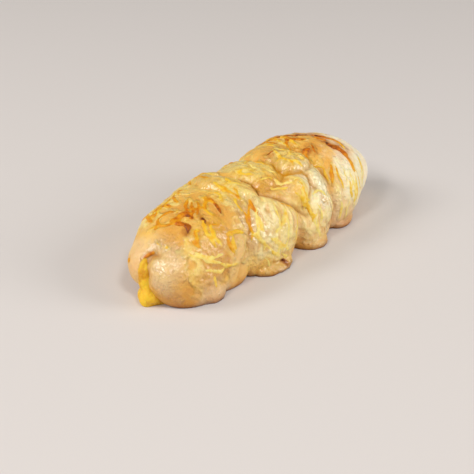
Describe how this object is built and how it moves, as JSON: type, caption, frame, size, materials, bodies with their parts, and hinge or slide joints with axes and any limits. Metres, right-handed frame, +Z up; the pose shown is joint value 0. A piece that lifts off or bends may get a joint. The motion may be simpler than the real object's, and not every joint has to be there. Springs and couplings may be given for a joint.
{
  "type": "cheese-topped plaited bread roll",
  "caption": "Long plaited bread roll with melted grated cheese on its crust and a pool of cheese run out of one end fold.",
  "frame": {"origin": "on the underside's plane, under the middle of the bounding box", "axes": "+X along the roll towards its blunt far end, with the cheese pool at -X; +Z up; -Y is the side seen in the picture"},
  "size_m": [0.1852, 0.075, 0.0448],
  "materials": {
    "crust": "baked golden crust with melted cheese, slightly glossy",
    "cheese": "soft melted cheese, glossy"
  },
  "bodies": {
    "root": {"roll": "crust", "melted_cheese": "cheese"}
  },
  "joints": []
}
